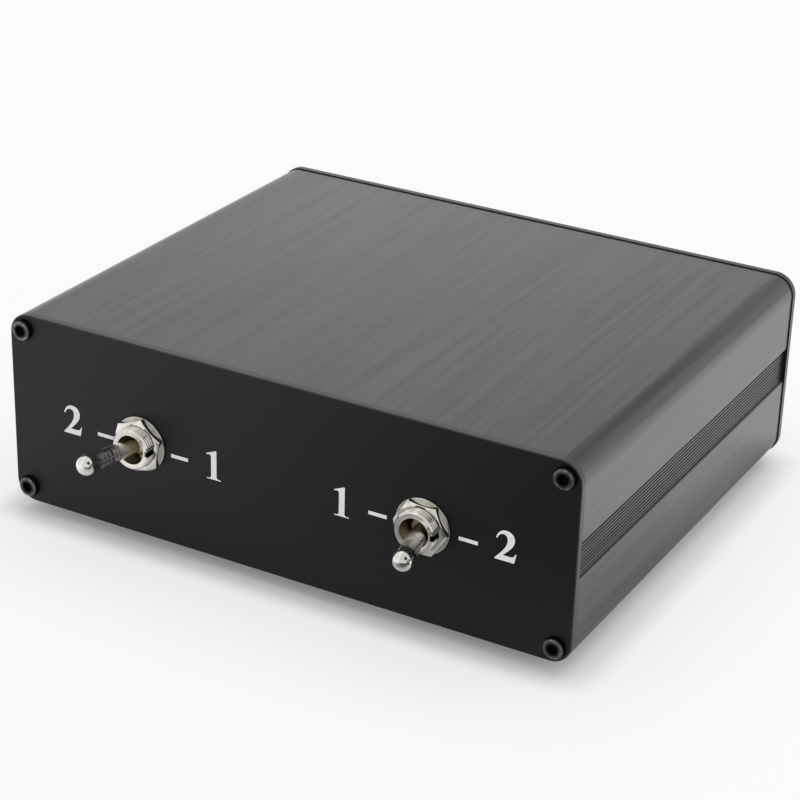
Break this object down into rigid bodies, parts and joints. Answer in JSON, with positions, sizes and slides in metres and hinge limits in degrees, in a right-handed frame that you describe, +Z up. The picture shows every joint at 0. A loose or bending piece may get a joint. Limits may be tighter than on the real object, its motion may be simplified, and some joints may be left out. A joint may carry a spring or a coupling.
{
  "type": "speaker selector switch",
  "caption": "Low black metal switch box with bat-handle toggles on the front plate and rows of banana sockets at the back, for choosing between amplifiers and speaker pairs.",
  "frame": {"origin": "middle of the bounding box's underside, on the surface that the feet stand on", "axes": "+X to the right as seen from the front, +Y from the front plate to the rear plate, +Z up"},
  "size_m": [0.1656, 0.1778, 0.0579],
  "materials": {
    "case_anodised": "black anodised, brushed along the depth",
    "plate_anodised": "black anodised, satin",
    "screw_black": "black oxide steel",
    "foot_rubber": "matte",
    "nickel": "polished nickel plate",
    "steel": "zinc plated",
    "phenolic": "dark moulded phenolic",
    "yoke_plastic": "moulded nylon",
    "contact_brass": "silver plated brass",
    "cap_red": "gloss",
    "cap_black": "gloss",
    "post_brass": "gold plated",
    "collar_red": "gloss",
    "collar_black": "gloss",
    "wire_red": "insulated stranded wire",
    "wire_black": "insulated stranded wire"
  },
  "bodies": {
    "case": {"top_shell": "case_anodised", "bottom_shell": "case_anodised", "front_plate": "plate_anodised", "rear_plate": "plate_anodised", "front_screw_1": "screw_black", "front_screw_2": "screw_black", "front_screw_3": "screw_black", "front_screw_4": "screw_black", "rear_screws": "screw_black", "foot_1": "foot_rubber", "foot_2": "foot_rubber", "foot_3": "foot_rubber", "foot_4": "foot_rubber", "amplifier_bush": "nickel", "amplifier_washer": "nickel", "amplifier_nuts": "nickel", "amplifier_pivot_pin": "steel", "amplifier_strap": "steel", "amplifier_housing": "phenolic", "amplifier_terminals": "contact_brass", "speaker_bush": "nickel", "speaker_washer": "nickel", "speaker_nuts": "nickel", "speaker_pivot_pin": "steel", "speaker_strap": "steel", "speaker_housing": "phenolic", "speaker_terminals": "contact_brass", "amplifier_1_studs": "post_brass", "amplifier_2_studs": "post_brass", "speaker_1_studs": "post_brass", "speaker_2_studs": "post_brass", "post_nuts": "post_brass", "solder_tags": "post_brass", "red_insulators": "collar_red", "black_insulators": "collar_black", "red_wires": "wire_red", "black_wires": "wire_black"},
    "amplifier_lever_body": {"amplifier_lever": "nickel", "amplifier_yoke": "yoke_plastic"},
    "amplifier_rocker_body": {"amplifier_rockers": "contact_brass"},
    "speaker_lever_body": {"speaker_lever": "nickel", "speaker_yoke": "yoke_plastic"},
    "speaker_rocker_body": {"speaker_rockers": "contact_brass"},
    "amplifier_1_left_positive_cap_body": {"amplifier_1_left_positive_cap": "cap_red"},
    "amplifier_1_left_negative_cap_body": {"amplifier_1_left_negative_cap": "cap_black"},
    "amplifier_1_right_positive_cap_body": {"amplifier_1_right_positive_cap": "cap_red"},
    "amplifier_1_right_negative_cap_body": {"amplifier_1_right_negative_cap": "cap_black"},
    "amplifier_2_left_positive_cap_body": {"amplifier_2_left_positive_cap": "cap_red"},
    "amplifier_2_left_negative_cap_body": {"amplifier_2_left_negative_cap": "cap_black"},
    "amplifier_2_right_positive_cap_body": {"amplifier_2_right_positive_cap": "cap_red"},
    "amplifier_2_right_negative_cap_body": {"amplifier_2_right_negative_cap": "cap_black"},
    "speaker_1_left_positive_cap_body": {"speaker_1_left_positive_cap": "cap_red"},
    "speaker_1_left_negative_cap_body": {"speaker_1_left_negative_cap": "cap_black"},
    "speaker_1_right_positive_cap_body": {"speaker_1_right_positive_cap": "cap_red"},
    "speaker_1_right_negative_cap_body": {"speaker_1_right_negative_cap": "cap_black"},
    "speaker_2_left_positive_cap_body": {"speaker_2_left_positive_cap": "cap_red"},
    "speaker_2_left_negative_cap_body": {"speaker_2_left_negative_cap": "cap_black"},
    "speaker_2_right_positive_cap_body": {"speaker_2_right_positive_cap": "cap_red"},
    "speaker_2_right_negative_cap_body": {"speaker_2_right_negative_cap": "cap_black"}
  },
  "joints": [
    {"name": "amplifier_lever_pivot", "type": "hinge", "parent": "case", "child": "amplifier_lever_body", "pos_m": [-0.0415, -0.06821, 0.0302], "axis": [0, 0, 1], "range_deg": [0, 27]},
    {"name": "amplifier_rocker_pivot", "type": "hinge", "parent": "case", "child": "amplifier_rocker_body", "pos_m": [-0.0415, -0.05166, 0.0302], "axis": [0, 0, 1], "range_deg": [-17.3, 0]},
    {"name": "speaker_lever_pivot", "type": "hinge", "parent": "case", "child": "speaker_lever_body", "pos_m": [0.0415, -0.06821, 0.0302], "axis": [0, 0, 1], "range_deg": [-27, 0]},
    {"name": "speaker_rocker_pivot", "type": "hinge", "parent": "case", "child": "speaker_rocker_body", "pos_m": [0.0415, -0.05166, 0.0302], "axis": [0, 0, 1], "range_deg": [0, 17.3]},
    {"name": "amplifier_1_left_positive_cap_unscrew", "type": "slide", "parent": "case", "child": "amplifier_1_left_positive_cap_body", "axis": [0, 1, 0], "range_m": [0, 0.005]},
    {"name": "amplifier_1_left_negative_cap_unscrew", "type": "slide", "parent": "case", "child": "amplifier_1_left_negative_cap_body", "axis": [0, 1, 0], "range_m": [0, 0.005]},
    {"name": "amplifier_1_right_positive_cap_unscrew", "type": "slide", "parent": "case", "child": "amplifier_1_right_positive_cap_body", "axis": [0, 1, 0], "range_m": [0, 0.005]},
    {"name": "amplifier_1_right_negative_cap_unscrew", "type": "slide", "parent": "case", "child": "amplifier_1_right_negative_cap_body", "axis": [0, 1, 0], "range_m": [0, 0.005]},
    {"name": "amplifier_2_left_positive_cap_unscrew", "type": "slide", "parent": "case", "child": "amplifier_2_left_positive_cap_body", "axis": [0, 1, 0], "range_m": [0, 0.005]},
    {"name": "amplifier_2_left_negative_cap_unscrew", "type": "slide", "parent": "case", "child": "amplifier_2_left_negative_cap_body", "axis": [0, 1, 0], "range_m": [0, 0.005]},
    {"name": "amplifier_2_right_positive_cap_unscrew", "type": "slide", "parent": "case", "child": "amplifier_2_right_positive_cap_body", "axis": [0, 1, 0], "range_m": [0, 0.005]},
    {"name": "amplifier_2_right_negative_cap_unscrew", "type": "slide", "parent": "case", "child": "amplifier_2_right_negative_cap_body", "axis": [0, 1, 0], "range_m": [0, 0.005]},
    {"name": "speaker_1_left_positive_cap_unscrew", "type": "slide", "parent": "case", "child": "speaker_1_left_positive_cap_body", "axis": [0, 1, 0], "range_m": [0, 0.005]},
    {"name": "speaker_1_left_negative_cap_unscrew", "type": "slide", "parent": "case", "child": "speaker_1_left_negative_cap_body", "axis": [0, 1, 0], "range_m": [0, 0.005]},
    {"name": "speaker_1_right_positive_cap_unscrew", "type": "slide", "parent": "case", "child": "speaker_1_right_positive_cap_body", "axis": [0, 1, 0], "range_m": [0, 0.005]},
    {"name": "speaker_1_right_negative_cap_unscrew", "type": "slide", "parent": "case", "child": "speaker_1_right_negative_cap_body", "axis": [0, 1, 0], "range_m": [0, 0.005]},
    {"name": "speaker_2_left_positive_cap_unscrew", "type": "slide", "parent": "case", "child": "speaker_2_left_positive_cap_body", "axis": [0, 1, 0], "range_m": [0, 0.005]},
    {"name": "speaker_2_left_negative_cap_unscrew", "type": "slide", "parent": "case", "child": "speaker_2_left_negative_cap_body", "axis": [0, 1, 0], "range_m": [0, 0.005]},
    {"name": "speaker_2_right_positive_cap_unscrew", "type": "slide", "parent": "case", "child": "speaker_2_right_positive_cap_body", "axis": [0, 1, 0], "range_m": [0, 0.005]},
    {"name": "speaker_2_right_negative_cap_unscrew", "type": "slide", "parent": "case", "child": "speaker_2_right_negative_cap_body", "axis": [0, 1, 0], "range_m": [0, 0.005]}
  ],
  "couplings": [
    {"joint": "amplifier_rocker_pivot", "follows": "amplifier_lever_pivot", "ratio": -0.63704},
    {"joint": "speaker_rocker_pivot", "follows": "speaker_lever_pivot", "ratio": -0.63704}
  ]
}
